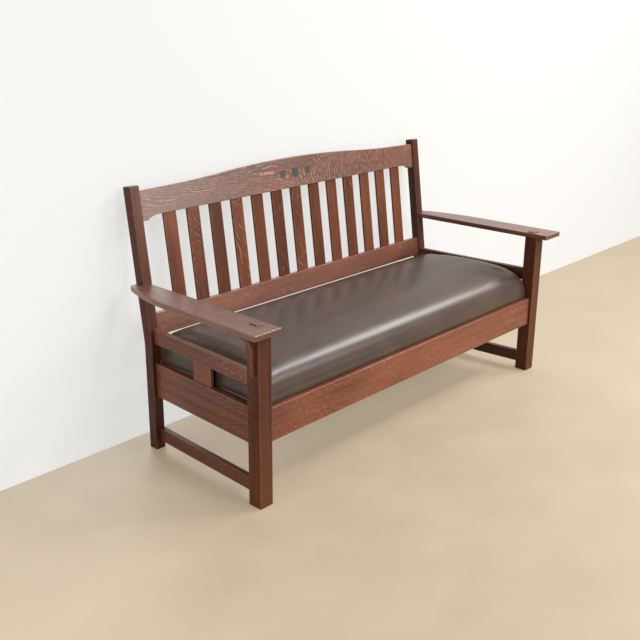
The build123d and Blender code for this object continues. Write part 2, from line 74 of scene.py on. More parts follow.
class Canvas:
    """A node tree being drawn, with short calls for the nodes that the finishes share."""

    def __init__(self, tree: Tree) -> None:
        """Draws on the given tree."""
        self.tree = tree

    def feed(self, socket: Socket, value: Value) -> None:
        """Links a socket to another, or sets its value.

        Args:
            socket: the input to feed.
            value: an output socket, a number, a vector or a colour.
        """
        if isinstance(value, Socket):
            self.tree.links.new(value, socket)
        else:
            socket.default_value = value

    def node(self, kind: str, inputs: dict[str | int, Value], **settings: object) -> bpy.types.Node:
        """Adds a node.

        Args:
            kind: the node's type name.
            inputs: what feeds its sockets, by name or place.
            settings: its own properties.

        Returns:
            The new node.
        """
        made = self.tree.nodes.new(kind)
        for name, value in settings.items():
            setattr(made, name, value)
        for name, value in inputs.items():
            self.feed(made.inputs[name], value)
        return made

    def maths(self, operation: str, *values: Value) -> Socket:
        """The result of a Math node on one, two or three numbers."""
        return self.node("ShaderNodeMath", dict(enumerate(values)), operation=operation).outputs[0]

    def vectors(self, operation: str, *values: Value) -> Socket:
        """The result of a Vector Math node."""
        made = self.node("ShaderNodeVectorMath", dict(enumerate(values)), operation=operation)
        return made.outputs[0]

    def noise(self, vector: Value, scale: Value, detail: float = 2.0,
              roughness: float = 0.5) -> Socket:
        """Noise on a vector that is first stretched.

        Args:
            vector: where to look.
            scale: features per metre along each axis.
            detail: octaves.
            roughness: strength of the finer octaves.

        Returns:
            The noise, about 0.5 on average.
        """
        stretched = self.vectors("MULTIPLY", vector, scale)
        return self.node("ShaderNodeTexNoise", {"Vector": stretched, "Scale": 1.0, "Detail": detail,
                                                "Roughness": roughness}).outputs[0]

    def ramp(self, value: Value, low: float, high: float, start: float = 0.0,
             end: float = 1.0) -> Socket:
        """A smooth step of a value between low and high, from start to end."""
        made = self.node("ShaderNodeMapRange", {0: value, 1: low, 2: high, 3: start, 4: end},
                         interpolation_type="SMOOTHSTEP")
        return made.outputs[0]

    def blend(self, share: Value, first: Value, second: Value, mode: str = "MIX") -> Socket:
        """Two colours mixed, the share being that of the second."""
        return self.node("ShaderNodeMix", {0: share, 6: first, 7: second}, data_type="RGBA",
                         blend_type=mode).outputs[2]

    def parts(self, vector: Value) -> list[Socket]:
        """The three parts of a vector."""
        return list(self.node("ShaderNodeSeparateXYZ", {0: vector}).outputs)

    def shown(self) -> Socket:
        """1 where the camera, a reflection or a pane looks, and 0 for the light on the object."""
        seen = self.tree.nodes.new("ShaderNodeLightPath").outputs
        return self.maths("MAXIMUM", seen["Is Camera Ray"],
                          self.maths("MAXIMUM", seen["Is Glossy Ray"], seen["Is Transmission Ray"]))

    def group(self, tree: Tree, inputs: dict[str | int, Value]) -> bpy.types.Node:
        """Places a shared group and feeds it."""
        return self.node("ShaderNodeGroup", inputs, node_tree=tree)


class SocketKind(Enum):
    """The kinds of socket that the shared groups have."""

    NUMBER = "NodeSocketFloat"
    VECTOR = "NodeSocketVector"
    COLOUR = "NodeSocketColor"


@dataclass
class SharedGroup:
    """A shader node group with named inputs and outputs, built once for many materials."""

    name: str
    inputs: dict[SocketKind, tuple[str, ...]]
    outputs: dict[SocketKind, tuple[str, ...]]
    tree: Tree = field(init=False)
    canvas: Canvas = field(init=False)

    def __post_init__(self) -> None:
        """Makes the empty tree with its sockets."""
        self.tree = bpy.data.node_groups.new(self.name, "ShaderNodeTree")
        for sockets, side in ((self.inputs, "INPUT"), (self.outputs, "OUTPUT")):
            for kind, labels in sockets.items():
                for label in labels:
                    self.tree.interface.new_socket(name=label, in_out=side,
                                                   socket_type=kind.value)
        self.canvas = Canvas(self.tree)
        self.taken = self.tree.nodes.new("NodeGroupInput").outputs
        self.given = self.tree.nodes.new("NodeGroupOutput").inputs

    def give(self, **values: Value) -> None:
        """Feeds the group's outputs, named with underscores for spaces."""
        for label, value in values.items():
            self.canvas.feed(self.given[label.replace("_", " ")], value)


def quartered_oak() -> Tree:
    """The figure of quarter-sawn oak: growth lines, pores and ray fleck.

    Its vector runs, in metres, along the grain in x, across the face in y and through the
    board in z, and its patterns are stretched along x.

    Returns:
        The group's tree.
    """
    group = SharedGroup(
        "quartered oak",
        {SocketKind.VECTOR: ("Vector",),
         SocketKind.NUMBER: ("Face", "Ribbons", "Specks", "Phase", "Tone"),
         SocketKind.COLOUR: ("Deep", "Body", "Warm", "Fleck")},
        {SocketKind.COLOUR: ("Color",), SocketKind.NUMBER: ("Gloss", "Height")})
    draw, taken = group.canvas, group.taken
    place = taken["Vector"]
    growth = draw.noise(place, (1.1, 62.0, 62.0), 3.0, 0.6)
    fine = draw.noise(place, (9.0, 560.0, 560.0), 2.0, 0.6)
    pores = draw.ramp(draw.noise(place, (60.0, 1500.0, 1500.0), 1.0), 0.58, 0.7)
    drift = draw.noise(place, (2.2, 5.0, 5.0), 2.0)

    folds = draw.noise(place, (4.2, 15.0, 15.0), 2.4, 0.52)
    distance = draw.maths("PINGPONG", draw.maths("MULTIPLY_ADD", folds, 8.0, taken["Phase"]), 0.5)
    broken = draw.ramp(draw.noise(place, (46.0, 60.0, 60.0), 2.0), 0.38, 0.6, 0.15, 1.0)
    lines = draw.maths("MULTIPLY", draw.ramp(distance, 0.05, 0.2, 1.0, 0.0), broken)
    patches = draw.ramp(draw.noise(place, (5.0, 9.0, 9.0), 1.0), 0.34, 0.54, 0.4, 1.0)
    ribbons = draw.maths("MULTIPLY", draw.maths("MULTIPLY", lines, patches), taken["Ribbons"])
    spots = draw.ramp(draw.noise(place, (190.0, 95.0, 95.0), 1.5), 0.6, 0.7)
    specks = draw.maths("MULTIPLY", draw.maths("MULTIPLY", spots, patches), taken["Specks"])
    fleck = draw.maths("MULTIPLY", draw.maths("MAXIMUM", ribbons, specks), taken["Face"])

    colour = draw.blend(draw.ramp(growth, 0.28, 0.68), taken["Deep"], taken["Body"])
    colour = draw.blend(draw.ramp(drift, 0.36, 0.64, 0.0, 0.8), colour, taken["Warm"])
    colour = draw.blend(draw.ramp(fine, 0.3, 0.7, 0.55, 0.0), colour, taken["Deep"])
    colour = draw.blend(draw.maths("MULTIPLY", pores, 0.5), colour, taken["Deep"])
    colour = draw.blend(fleck, colour, taken["Fleck"])
    lit = draw.maths("ADD", 1.0, taken["Tone"])
    grey = draw.node("ShaderNodeCombineXYZ", {0: lit, 1: lit, 2: lit}).outputs[0]
    gloss = draw.maths("ADD", draw.maths("MULTIPLY", pores, 0.12),
                       draw.ramp(growth, 0.3, 0.7, 0.04, -0.04))
    relief = draw.maths("SUBTRACT", draw.maths("MULTIPLY", fine, 0.5),
                        draw.maths("MULTIPLY", pores, 0.8))
    group.give(Color=draw.blend(1.0, colour, grey, "MULTIPLY"), Gloss=gloss,
               Height=draw.maths("ADD", relief, draw.maths("MULTIPLY", fleck, 0.25)))
    return group.tree


def worn_and_highlit_edges() -> Tree:
    """Where hands and cloths have rubbed a board, and where a highlight is painted: its rounded
    edges and a band beside them.

    Returns:
        The group's tree.
    """
    group = SharedGroup(
        "worn edges",
        {SocketKind.VECTOR: ("Position", "Half Size", "Normal"), SocketKind.NUMBER: ("Width",)},
        {SocketKind.NUMBER: ("Mask",)})
    draw, taken = group.canvas, group.taken
    from_middle = draw.vectors("ABSOLUTE", taken["Position"])
    a, b, c = draw.parts(draw.vectors("SUBTRACT", taken["Half Size"], from_middle))
    second = draw.maths("MAXIMUM", draw.maths("MINIMUM", a, b),
                        draw.maths("MINIMUM", draw.maths("MAXIMUM", a, b), c))
    ragged = draw.noise(taken["Position"], (90.0, 90.0, 90.0), 3.0, 0.6)
    reach = draw.maths("MULTIPLY", taken["Width"], draw.maths("ADD", ragged, 0.4))
    away = draw.maths("MINIMUM", draw.maths("DIVIDE", second, reach), 1.0)
    near = draw.maths("SUBTRACT", 1.0, away)
    x, y, z = draw.parts(draw.vectors("ABSOLUTE", taken["Normal"]))
    flat = draw.maths("MAXIMUM", draw.maths("MAXIMUM", x, y), z)
    rounded = draw.ramp(flat, 0.78, 0.985, 1.0, 0.0)
    both = draw.maths("MAXIMUM", rounded, draw.maths("MULTIPLY", near, 0.7))
    group.give(Mask=draw.maths("MULTIPLY", both, draw.ramp(ragged, 0.3, 0.6, 0.35, 1.0)))
    return group.tree


def leather_grain() -> Tree:
    """The skin of smooth leather: small pebbles, faint creases and a cloudy colour.

    Returns:
        The group's tree.
    """
    group = SharedGroup(
        "leather grain",
        {SocketKind.VECTOR: ("Vector",), SocketKind.NUMBER: ("Pebbles",)},
        {SocketKind.NUMBER: ("Cloud", "Crease", "Height")})
    draw, taken = group.canvas, group.taken
    wobble = draw.node("ShaderNodeTexNoise", {
        "Vector": taken["Vector"], "Scale": 240.0, "Detail": 1.0})
    bent = draw.vectors("MULTIPLY_ADD", wobble.outputs["Color"], (0.0012,) * 3, taken["Vector"])
    cells = draw.node("ShaderNodeTexVoronoi", {"Vector": bent, "Scale": taken["Pebbles"]},
                      feature="DISTANCE_TO_EDGE").outputs[0]
    pebble = draw.ramp(cells, 0.0, 0.22)
    cloud = draw.noise(taken["Vector"], (7.0, 9.0, 7.0), 4.0, 0.55)
    crease = draw.ramp(draw.noise(taken["Vector"], (16.0, 60.0, 40.0), 3.0, 0.6), 0.5, 0.72)
    height = draw.maths("MULTIPLY_ADD", pebble, 0.6, draw.maths("MULTIPLY", crease, 0.35))
    group.give(Cloud=draw.ramp(cloud, 0.32, 0.68), Crease=crease, Height=height)
    return group.tree


def plain_weave() -> Tree:
    """Threads over and under each other in a plain weave, in x and y.

    Returns:
        The group's tree.
    """
    group = SharedGroup(
        "plain weave",
        {SocketKind.VECTOR: ("Vector",), SocketKind.NUMBER: ("Pitch",)},
        {SocketKind.NUMBER: ("Thread", "Fibre")})
    draw, taken = group.canvas, group.taken
    x, y, _ = draw.parts(taken["Vector"])
    turn = draw.maths("DIVIDE", math.pi, taken["Pitch"])
    warp = draw.maths("SINE", draw.maths("MULTIPLY", x, turn))
    weft = draw.maths("SINE", draw.maths("MULTIPLY", y, turn))
    over = draw.maths("ABSOLUTE", draw.maths("MULTIPLY", warp, weft))
    group.give(Thread=draw.maths("POWER", over, 0.6),
               Fibre=draw.noise(taken["Vector"], (900.0, 900.0, 900.0), 2.0))
    return group.tree


class Lie(Enum):
    """How a board lies: the directions along its grain and across its face."""

    RAIL = ((1, 0, 0), (0, 0, 1))
    BACK_RAIL = ((1, 0, 0), (0, math.sin(LEAN), math.cos(LEAN)))
    POST = ((0, 0, 1), (1, 0, 0))
    BACK_POST = ((0, math.sin(LEAN), math.cos(LEAN)), (1, 0, 0))
    LEFT_SIDE = ((math.sin(SPLAY), math.cos(SPLAY), 0), (0, 0, 1))
    RIGHT_SIDE = ((-math.sin(SPLAY), math.cos(SPLAY), 0), (0, 0, 1))
    SIDE_SLAT = ((0, 0, 1), (0, 1, 0))
    ARM = ((0, 1, 0), (1, 0, 0))

    def axes(self) -> Matrix:
        """Those directions, and the one through the board, as the columns of a rotation."""
        along, across = (Vector(direction) for direction in self.value)
        return Matrix((along, across, along.cross(across))).transposed()

    def turn(self) -> tuple:
        """Its rotation, as a Mapping node wants it."""
        return tuple(self.axes().to_euler())


@dataclass(frozen=True)
class Board:
    """One board of the settle and how its wood shows.

    Attributes:
        node: the CAD node's name.
        lie: how it lies.
        tone: lighter above zero, darker below.
        ribbons: how strong the long rays of its figure are.
        specks: how strong the short ones are.
        run: rays met in a metre along it and across it, at its start.
        run_end: the same at its other end.
        square: whether the figure shows on all four long faces, as on a post.
        gloss: of its varnish, 1 being the most polished.
        filler_and_sheen: how much pale filler is left in its grain, together with a painted sheen;
            both fade along the board.
    """

    node: str
    lie: Lie
    tone: float = 0.0
    ribbons: float = 0.2
    specks: float = 0.15
    run: tuple[float, float] = (22.0, 70.0)
    run_end: tuple[float, float] = (34.0, 50.0)
    square: bool = False
    gloss: float = 0.3
    filler_and_sheen: float = 0.0

    def local_box(self) -> tuple[Vector, Vector]:
        """The board's place and size.

        Returns:
            Its middle, in the frame, and its half size along its own axes.
        """
        turn = self.lie.axes().transposed()
        places = [turn @ vertex.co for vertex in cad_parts[self.node].data.vertices]
        low = Vector(min(place[axis] for place in places) for axis in range(3))
        high = Vector(max(place[axis] for place in places) for axis in range(3))
        return self.lie.axes() @ ((low + high) / 2), (high - low) / 2

    def seed(self) -> Vector:
        """A place in the figure of the wood that is this board's own."""
        number = sum((place + 1) * ord(letter) for place, letter in enumerate(self.node))
        return Vector((number * 0.37 % 9.0, number * 0.71 % 7.0, number * 0.53 % 5.0))


class Finish:
    """A material under construction: its shader, its canvas and its coordinates."""

    def __init__(self, name: str) -> None:
        """Makes an empty material with its Principled shader.

        Args:
            name: the material's name.
        """
        self.material = bpy.data.materials.new(name)
        self.material.use_nodes = True
        self.draw = Canvas(self.material.node_tree)
        self.shader = self.material.node_tree.nodes["Principled BSDF"]
        self.coordinates = self.material.node_tree.nodes.new("ShaderNodeTexCoord")

    def place(self, middle: Vector | tuple = (0, 0, 0), turn: tuple = (0, 0, 0),
              source: str = "Object") -> Socket:
        """Coordinates centred and turned to a piece.

        Args:
            middle: the piece's middle.
            turn: its rotation.
            source: which coordinates, Object or Normal.

        Returns:
            The turned coordinates.
        """
        return self.draw.node("ShaderNodeMapping", {
            "Vector": self.coordinates.outputs[source], "Location": middle, "Rotation": turn},
            vector_type="TEXTURE").outputs[0]

    def bump(self, height: Value, strength: float, distance: float) -> None:
        """Feeds the shader's normal from a height."""
        bumped = self.draw.node("ShaderNodeBump", {
            "Height": height, "Strength": strength, "Distance": distance})
        self.draw.feed(self.shader.inputs["Normal"], bumped.outputs[0])

    def shade(self, **inputs: Value) -> None:
        """Feeds the shader's inputs, named with underscores for spaces."""
        for label, value in inputs.items():
            self.draw.feed(self.shader.inputs[label.replace("_", " ")], value)


@dataclass(frozen=True)
class OakFinish:
    """Fumed and varnished quarter-sawn oak."""

    figure: Tree
    wear_and_highlight: Tree
    deep: Colour = (0.066, 0.0210, 0.0120)
    body: Colour = (0.145, 0.0450, 0.0225)
    warm: Colour = (0.205, 0.0660, 0.0300)
    fleck: Colour = (0.400, 0.2050, 0.1400)
    # lighter edge colour: partly real wear, partly a painted highlight on the rounded edges
    worn_and_highlight: Colour = (0.330, 0.1350, 0.0680)
    # pale filler colour, which also paints a sheen on the boards that have filler
    filler_and_sheen: Colour = (0.400, 0.3150, 0.2750)
    change_share: float = 0.8           # of the half length, over which a board's look changes
    far_filler_and_sheen: float = 0.3             # of a board's filler and painted sheen, at its far end
    post_end: float = 0.3               # share of filler on the ends of a post
    board_end: float = 0.75             # share of the deep colour on the ends of other boards
    worn_and_highlight_share: float = 0.55            # of the worn colour on the edges, which is partly wear and partly a painted edge highlight
    wear_and_highlight_width: float = 4.0 * MM
    roughness: float = 0.40
    sheen: float = 0.6                  # of the varnish at full gloss
    coat_roughness: float = 0.20
    relief: float = 0.35
    relief_depth: float = 0.25 * MM

    def material(self, board: Board) -> Material:
        """The finish for one board, with the grain along it.

        Args:
            board: the board to finish.

        Returns:
            Its material.
        """
        finish = Finish("oak_" + board.node)
        draw = finish.draw
        middle, half = board.local_box()
        local = finish.place(middle, board.lie.turn())
        normal = finish.place(turn=board.lie.turn(), source="Normal")
        x, _, z = draw.parts(draw.vectors("ABSOLUTE", normal))
        along, across, _ = draw.parts(local)
        reach = half.x * self.change_share
        phase = draw.maths("ADD", *(
            draw.maths("MULTIPLY", place, draw.ramp(along, -reach, reach, start, end))
            for place, start, end in zip((along, across), board.run, board.run_end)))
        face = draw.maths("SUBTRACT", 1.0, x) if board.square else z
        wood = draw.group(self.figure, {
            "Vector": draw.vectors("ADD", local, board.seed()), "Face": face,
            "Ribbons": board.ribbons, "Specks": board.specks, "Phase": phase, "Tone": board.tone,
            "Deep": opaque(self.deep), "Body": opaque(self.body), "Warm": opaque(self.warm),
            "Fleck": opaque(self.fleck)})
        edge = draw.group(self.wear_and_highlight, {"Position": local, "Half Size": half, "Normal": normal,
                                      "Width": self.wear_and_highlight_width}).outputs["Mask"]
        end_share = self.post_end if board.square else self.board_end
        end_grain = draw.ramp(x, 0.7, 0.95, 0.0, end_share)
        # painted sheen and filler: a pale mix, strongest at the board's start and fading along it
        left = draw.ramp(along, -reach, reach, board.filler_and_sheen, board.filler_and_sheen * self.far_filler_and_sheen)
        colour = draw.blend(left, wood.outputs["Color"], opaque(self.filler_and_sheen))
        colour = draw.blend(end_grain, colour, opaque(self.filler_and_sheen if board.square else self.deep))
        # painted highlight: the edges get a lighter colour, partly real wear and partly the light
        # that rounded edges catch
        rubbed_and_highlit = draw.maths("MULTIPLY", edge, self.worn_and_highlight_share)
        colour = draw.blend(rubbed_and_highlit, colour, opaque(self.worn_and_highlight))
        varnish = self.sheen * board.gloss
        coat = draw.maths("MULTIPLY_ADD", edge, 0.0 if board.square else 1.0 - varnish, varnish)
        finish.shade(Base_Color=colour, Specular_IOR_Level=varnish, Coat_Weight=coat,
                     Coat_Roughness=self.coat_roughness,
                     Roughness=draw.maths("ADD", self.roughness, wood.outputs["Gloss"]))
        finish.bump(wood.outputs["Height"], self.relief, self.relief_depth)
        return finish.material


@dataclass(frozen=True)
class PlainWoodFinish:
    """Wood without ray fleck: bare and pale as under the seat, unless it is told otherwise."""

    figure: Tree
    deep: Colour = (0.30, 0.19, 0.10)
    body: Colour = (0.50, 0.35, 0.21)
    warm: Colour = (0.56, 0.40, 0.24)
    roughness: float = 0.68
    coat: float = 0.0
    coat_roughness: float = 0.3
    relief: float = 0.5
    relief_depth: float = 0.4 * MM

    def material(self, name: str, lie: Lie) -> Material:
        """The wood with its grain along one direction.

        Args:
            name: the material's name.
            lie: how the pieces lie.

        Returns:
            The material.
        """
        finish = Finish(name)
        wood = finish.draw.group(self.figure, {
            "Vector": finish.place(turn=lie.turn()), "Deep": opaque(self.deep),
            "Body": opaque(self.body), "Warm": opaque(self.warm)})
        finish.shade(Base_Color=wood.outputs["Color"], Coat_Weight=self.coat,
                     Coat_Roughness=self.coat_roughness,
                     Roughness=finish.draw.maths("ADD", self.roughness, wood.outputs["Gloss"]))
        finish.bump(wood.outputs["Height"], self.relief, self.relief_depth)
        return finish.material


@dataclass(frozen=True)
class LeatherFinish:
    """Smooth dark brown upholstery leather with a satin sheen."""

    grain: Tree
    dark: Colour = (0.040, 0.0215, 0.0140)
    light: Colour = (0.060, 0.0335, 0.0225)
    crease_share: float = 0.25          # of the light colour, in the creases
    roughness: float = 0.38
    cloud_roughness: float = 0.05
    specular: float = 0.44
    coat: float = 0.18
    coat_roughness: float = 0.24
    pebbles: float = 620.0              # in a metre
    relief: float = 0.2
    relief_depth: float = 0.3 * MM

    def material(self) -> Material:
        """The leather.

        Returns:
            Its material.
        """
        finish = Finish("seat_leather")
        draw = finish.draw
        skin = draw.group(self.grain, {"Vector": finish.place(), "Pebbles": self.pebbles}).outputs
        colour = draw.blend(skin["Cloud"], opaque(self.dark), opaque(self.light))
        creased = draw.maths("MULTIPLY", skin["Crease"], self.crease_share)
        rough = draw.maths("MULTIPLY_ADD", skin["Cloud"], self.cloud_roughness, self.roughness)
        finish.shade(Base_Color=draw.blend(creased, colour, opaque(self.light)), Roughness=rough,
                     Specular_IOR_Level=self.specular, Coat_Weight=self.coat,
                     Coat_Roughness=self.coat_roughness)
        finish.bump(skin["Height"], self.relief, self.relief_depth)
        return finish.material


@dataclass(frozen=True)
class WovenFinish:
    """A plain woven cloth: the jute of the webbing or the cambric of the dust cover."""

    weave: Tree
    name: str
    gap: Colour
    thread: Colour
    pitch: float
    sheen: float = 0.2
    relief: float = 0.6
    relief_depth: float = 0.3 * MM

    def material(self) -> Material:
        """The cloth.

        Returns:
            Its material.
        """
        finish = Finish(self.name)
        draw = finish.draw
        cloth = draw.group(self.weave, {"Vector": finish.place(), "Pitch": self.pitch}).outputs
        colour = draw.blend(cloth["Thread"], opaque(self.gap), opaque(self.thread))
        uneven = draw.ramp(cloth["Fibre"], 0.3, 0.7, 0.3, 0.0)
        finish.shade(Base_Color=draw.blend(uneven, colour, opaque(self.gap)),
                     Sheen_Weight=self.sheen,
                     Roughness=draw.ramp(cloth["Thread"], 0.0, 1.0, 0.95, 0.8))
        finish.bump(cloth["Thread"], self.relief, self.relief_depth)
        return finish.material


@dataclass(frozen=True)
class MetalFinish:
    """Dark steel of the screws and tacks, with patches of stain."""

    name: str
    clean: Colour
    stained: Colour

    def material(self) -> Material:
        """The metal.

        Returns:
            Its material.
        """
        finish = Finish(self.name)
        draw = finish.draw
        stain = draw.ramp(draw.noise(finish.place(), (260.0, 260.0, 260.0), 3.0), 0.38, 0.62)
        finish.shade(Base_Color=draw.blend(stain, opaque(self.clean), opaque(self.stained)),
                     Metallic=1.0, Roughness=draw.ramp(stain, 0.0, 1.0, 0.32, 0.55))
        return finish.material


def dress(node: str, material: Material) -> None:
    """Gives a carried-over CAD node its material.

    Args:
        node: the node's name.
        material: its finish.
    """
    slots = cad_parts[node].data.materials
    slots.clear()
    slots.append(material)


def extruded(shape: Shape, edges: list[Edge]) -> list[Corner]:
    """The new corners that extruding some edges of a shape makes."""
    grown = bmesh.ops.extrude_edge_only(shape, edges=edges)["geom"]
    return [item for item in grown if isinstance(item, Corner)]


def linked(name: str, data: bpy.types.ID) -> Piece:
    """A new object of a mesh, lamp or camera, in the scene.

    Args:
        name: the object's name.
        data: what it shows.

    Returns:
        The object.
    """
    made = bpy.data.objects.new(name, data)
    bpy.context.scene.collection.objects.link(made)
    return made


def mesh_of(shape: Shape, name: str, material: Material) -> bpy.types.Mesh:
    """Makes a mesh of a finished shape.

    Args:
        shape: the shape, which is used up.
        name: the mesh's name.
        material: its finish.

    Returns:
        The mesh.
    """
    mesh = bpy.data.meshes.new(name)
    shape.to_mesh(mesh)
    shape.free()
    mesh.materials.append(material)
    return mesh


def piece_from(shape: Shape, name: str, material: Material, smooth: bool = True) -> Piece:
    """Makes a piece of a finished shape.

    Args:
        shape: the shape, which is used up.
        name: the piece's name.
        material: its finish.
        smooth: whether its faces shade smoothly.

    Returns:
        The new object, at the origin.
    """
    bmesh.ops.recalc_face_normals(shape, faces=shape.faces)
    mesh = mesh_of(shape, name, material)
    mesh.shade_smooth() if smooth else mesh.shade_flat()
    return linked(name, mesh)


def worked(piece: Piece, name: str, kind: str, **settings: object) -> None:
    """Works a modifier into a piece's mesh.

    Args:
        piece: the piece.
        name: the modifier's name.
        kind: its type.
        settings: its own properties.
    """
    modifier = piece.modifiers.new(name, kind)
    for label, value in settings.items():
        setattr(modifier, label, value)
    evaluated = piece.evaluated_get(bpy.context.evaluated_depsgraph_get())
    mesh, old = bpy.data.meshes.new_from_object(evaluated), piece.data
    piece.modifiers.clear()
    piece.data = mesh
    mesh.name = piece.name
    bpy.data.meshes.remove(old)


@dataclass
class OakFrame:
    """The oak settle frame: it keeps its CAD shapes and gets its wood here."""

    finish: OakFinish
    inlays: PlainWoodFinish
    slat_tones: tuple[float, ...] = (0.15, -0.1, -0.25, 0.15, -0.15, -0.3, 0.0, -0.15, 0.0,
                                     -0.1, 0.05, -0.1, 0.0)
    slat_ribbons: tuple[float, ...] = (0.03, 0.4, 0.1, 0.45, 0.05, 0.3, 0.45, 0.15, 0.05,
                                       0.35, 0.1, 0.2, 0.05)
    right_shade_shift: float = -0.3           # painted shade: a darker tone for the right side's boards, whose faces in view are turned from the light

    def boards(self) -> list[Board]:
        """Every oak board, with the look of its wood.

        Returns:
            The boards.
        """
        found = [
            # the filler on the crest and lower back rail is partly a painted sheen, palest at their
            # left ends
            Board("crest_rail", Lie.BACK_RAIL, -0.06, 0.95, 0.2, (9.0, 130.0), (75.0, 8.0),
                  gloss=0.45, filler_and_sheen=0.19),
            Board("lower_back_rail", Lie.BACK_RAIL, 0.32, 0.12, 0.1, filler_and_sheen=0.1),
            Board("front_seat_rail", Lie.RAIL, 0.38, 0.10, 0.35, gloss=0.25),
            Board("rear_seat_rail", Lie.RAIL, -0.05),
        ]
        looks = zip(self.slat_tones, self.slat_ribbons)
        for number, (tone, ribbons) in enumerate(looks, start=1):
            found.append(Board(f"back_slat_{number:02d}", Lie.BACK_POST, tone, ribbons,
                               ribbons / 2, gloss=0.12))
        # the right side's boards, and its front post by half, get a darker tone that is painted
        # shade
        for side, lie, shift in (("left", Lie.LEFT_SIDE, 0.0),
                                 ("right", Lie.RIGHT_SIDE, self.right_shade_shift)):
            found += [
                Board("front_post_" + side, Lie.POST, -0.25 + shift / 2, 0.1, 0.1,
                      square=True, gloss=0.15),
                Board("rear_post_" + side, Lie.BACK_POST, -0.4, 0.15, 0.1,
                      square=True, gloss=0.2),
                Board("arm_" + side, Lie.ARM, 0.04, 0.3, gloss=0.8),
                Board("corbel_" + side, Lie.POST, -0.1, 0.1),
                Board("side_slat_" + side, Lie.SIDE_SLAT, 0.25 + shift, 0.1),
                Board("side_seat_rail_" + side, lie, 0.35 + shift, 0.15),
                Board("side_upper_rail_" + side, lie, 0.3 + shift),
                Board("side_stretcher_" + side, lie, -0.1 + shift, 0.1),
            ]
        return found

    def build(self) -> None:
        """Dresses every board and the inlays."""
        boards = self.boards()
        for board in boards:
            dress(board.node, self.finish.material(board))
        dark = self.inlays.material("inlay_wood", Lie.BACK_POST)
        for place in ("left", "center", "right"):
            dress("crest_inlay_" + place, dark)
        LOG.info("oak frame: %d boards and three inlays", len(boards))


@dataclass
class HiddenWood:
    """The cleats, corner braces and seat frame, which keep their CAD shapes."""

    finish: PlainWoodFinish
    lengthwise: tuple[str, ...] = (
        "seat_cleat_front", "seat_cleat_rear", "seat_frame_front", "seat_frame_rear",
        "corner_brace_front_left", "corner_brace_front_right", "corner_brace_rear_left",
        "corner_brace_rear_right")
    crosswise: tuple[str, ...] = (
        "seat_cleat_left", "seat_cleat_right", "seat_frame_end_left", "seat_frame_end_right",
        "seat_brace_left", "seat_brace_right")

    def build(self) -> None:
        """Dresses each piece with the grain along it."""
        for name, lie, nodes in (("inner_wood_long", Lie.RAIL, self.lengthwise),
                                 ("inner_wood_deep", Lie.ARM, self.crosswise)):
            wood = self.finish.material(name, lie)
            for node in nodes:
                dress(node, wood)
        LOG.info("hidden wood: %d pieces", len(self.lengthwise) + len(self.crosswise))


